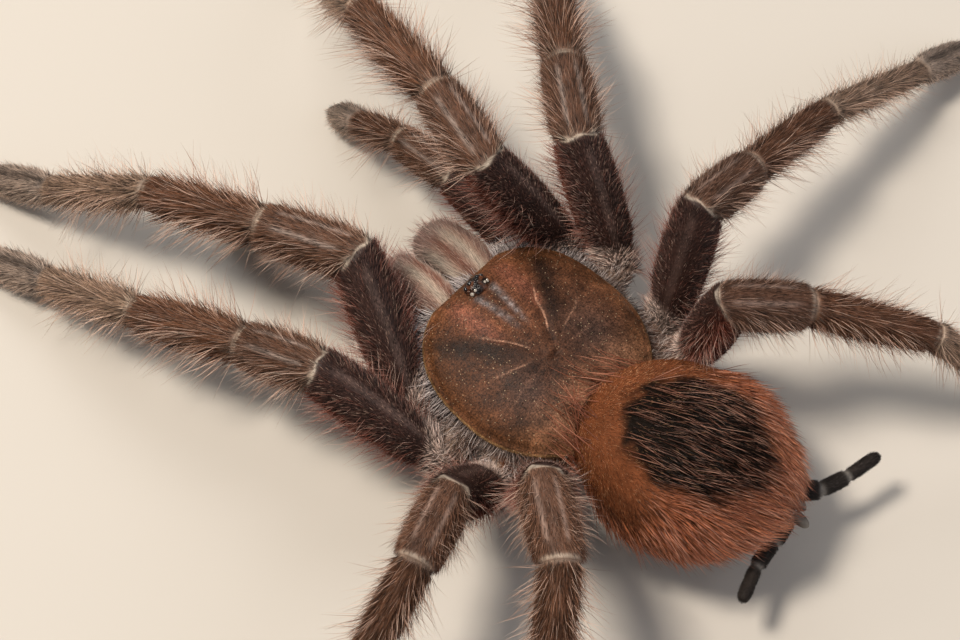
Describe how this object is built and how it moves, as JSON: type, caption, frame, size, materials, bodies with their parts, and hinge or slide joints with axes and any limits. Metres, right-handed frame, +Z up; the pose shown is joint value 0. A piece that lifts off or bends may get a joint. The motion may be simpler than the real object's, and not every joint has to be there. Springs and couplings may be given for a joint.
{
  "type": "tarantula",
  "caption": "Life-size still model of a large brown bird-eating tarantula standing on all its legs, with a rust-red abdomen, long spinnerets and a dense hair coat.",
  "frame": {"origin": "middle of the model's box, on the floor that its feet stand on", "axes": "the head faces -Y, the animal's left side is +X, +Z is up"},
  "size_m": [0.201, 0.1732, 0.0434],
  "materials": {
    "carapace_plate": "hard copper-brown shell plate under very short bronze down, soft sheen",
    "leg_coat": "dense dark brown velvet with longer reddish and pale hairs, pale bands at the joints",
    "grey_wool": "grey-beige woolly hair over brown skin",
    "abdomen_coat": "rust-red velvet and long swept-back hairs with a black patch on top",
    "spinneret_velvet": "matt charcoal velvet with pale joints",
    "fang_horn": "polished black horn",
    "eye_lens": "polished dark lens"
  },
  "bodies": {
    "root": {"carapace": "carapace_plate", "sternum": "grey_wool", "abdomen": "abdomen_coat", "coxae_left": "grey_wool", "chelicera_left": "grey_wool", "fang_left": "fang_horn", "spinneret_left": "spinneret_velvet", "eye_anterior_median_left": "eye_lens", "eye_anterior_lateral_left": "eye_lens", "eye_posterior_lateral_left": "eye_lens", "eye_posterior_median_left": "eye_lens", "palp_left_femur": "leg_coat", "palp_left_patella": "leg_coat", "palp_left_tibia": "leg_coat", "palp_left_tarsus": "leg_coat", "leg_1_left_femur": "leg_coat", "leg_1_left_patella": "leg_coat", "leg_1_left_tibia": "leg_coat", "leg_1_left_foot": "leg_coat", "leg_2_left_femur": "leg_coat", "leg_2_left_patella": "leg_coat", "leg_2_left_tibia": "leg_coat", "leg_2_left_foot": "leg_coat", "leg_3_left_femur": "leg_coat", "leg_3_left_patella": "leg_coat", "leg_3_left_tibia": "leg_coat", "leg_3_left_foot": "leg_coat", "leg_4_left_femur": "leg_coat", "leg_4_left_patella": "leg_coat", "leg_4_left_tibia": "leg_coat", "leg_4_left_foot": "leg_coat", "coxae_right": "grey_wool", "chelicera_right": "grey_wool", "fang_right": "fang_horn", "spinneret_right": "spinneret_velvet", "eye_anterior_median_right": "eye_lens", "eye_anterior_lateral_right": "eye_lens", "eye_posterior_lateral_right": "eye_lens", "eye_posterior_median_right": "eye_lens", "palp_right_femur": "leg_coat", "palp_right_patella": "leg_coat", "palp_right_tibia": "leg_coat", "palp_right_tarsus": "leg_coat", "leg_1_right_femur": "leg_coat", "leg_1_right_patella": "leg_coat", "leg_1_right_tibia": "leg_coat", "leg_1_right_foot": "leg_coat", "leg_2_right_femur": "leg_coat", "leg_2_right_patella": "leg_coat", "leg_2_right_tibia": "leg_coat", "leg_2_right_foot": "leg_coat", "leg_3_right_femur": "leg_coat", "leg_3_right_patella": "leg_coat", "leg_3_right_tibia": "leg_coat", "leg_3_right_foot": "leg_coat", "leg_4_right_femur": "leg_coat", "leg_4_right_patella": "leg_coat", "leg_4_right_tibia": "leg_coat", "leg_4_right_foot": "leg_coat"}
  },
  "joints": []
}
